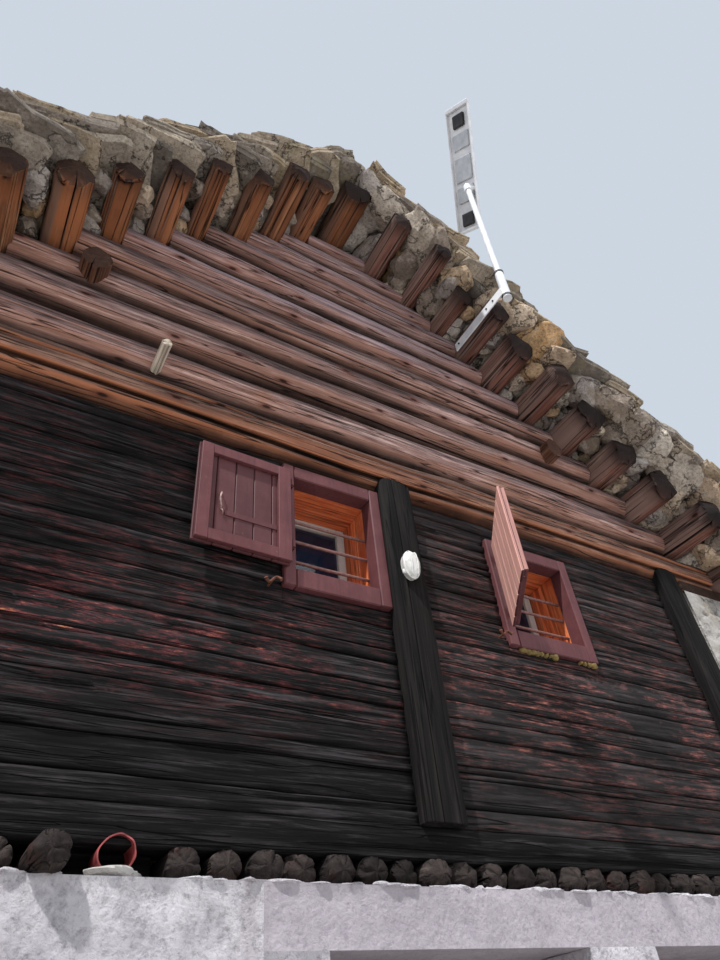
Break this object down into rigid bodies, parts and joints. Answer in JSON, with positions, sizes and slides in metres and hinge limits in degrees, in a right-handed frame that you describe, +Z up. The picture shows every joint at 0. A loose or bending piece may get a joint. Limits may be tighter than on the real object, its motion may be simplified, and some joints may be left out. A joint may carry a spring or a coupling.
{
  "type": "alpine chalet",
  "caption": "Alpine log chalet with a rendered masonry base, a dark hewn timber storey between stone side walls, a stepped log gable with projecting purlins and a stone slab roof.",
  "frame": {"origin": "on the ground under the ridge, halfway along the house, on the underside of the ground floor slab", "axes": "+Z up, +X along the gable front to the right as seen from outside, +Y from the front gable into the house"},
  "size_m": [6.7612, 7.5646, 7.6746],
  "materials": {
    "concrete": "rough cast",
    "plaster": "rough render",
    "stone_wall": "rubble, limewashed in part",
    "roof_stone": "rough split slabs",
    "dark_timber": "hewn, sun-blackened",
    "weathered_poles": "weathered",
    "round_logs": "weathered, cracked",
    "purlin_wood": "weathered",
    "pale_wood": "bare",
    "plain_boards": "planed",
    "painted_wood": "matt painted",
    "varnished_wood": "varnished",
    "white_paint": "painted",
    "glass": "clear",
    "rusty_iron": "rusty",
    "red_plastic": "faded",
    "lamp_white": "moulded",
    "white_metal": "painted"
  },
  "bodies": {
    "root": {"ground_floor_slab": "concrete", "front_base_left": "plaster", "front_base_pier": "plaster", "front_base_right": "plaster", "front_lintel": "concrete", "left_side_wall": "stone_wall", "right_side_wall": "stone_wall", "back_base_wall": "plaster", "side_wall_plates": "dark_timber", "floor_poles": "weathered_poles", "upper_floor_boards": "plain_boards", "drain_pipe_stub": "red_plastic", "pipe_bed_stone": "roof_stone", "front_sill_beam": "dark_timber", "front_planks_left": "dark_timber", "front_planks_right": "dark_timber", "front_centre_post": "dark_timber", "front_corner_posts": "dark_timber", "front_inner_lining": "plain_boards", "front_gable_logs": "round_logs", "cross_beam_ends": "purlin_wood", "wooden_peg": "pale_wood", "back_sill_beam": "dark_timber", "back_planks": "dark_timber", "back_posts": "dark_timber", "back_gable_logs": "round_logs", "window_frames": "painted_wood", "window_reveals": "varnished_wood", "window_sashes": "white_paint", "window_panes": "glass", "left_shutter": "painted_wood", "right_shutter": "painted_wood", "shutter_holdbacks": "rusty_iron", "purlins_left": "purlin_wood", "purlins_right": "purlin_wood", "ridge_purlin": "purlin_wood", "roof_slabs_left": "roof_stone", "roof_slabs_right": "roof_stone", "ridge_slabs": "roof_stone", "wall_lamp": "lamp_white", "antenna_bracket": "white_metal", "antenna_mast": "white_metal", "antenna_panel": "white_metal"}
  },
  "joints": []
}
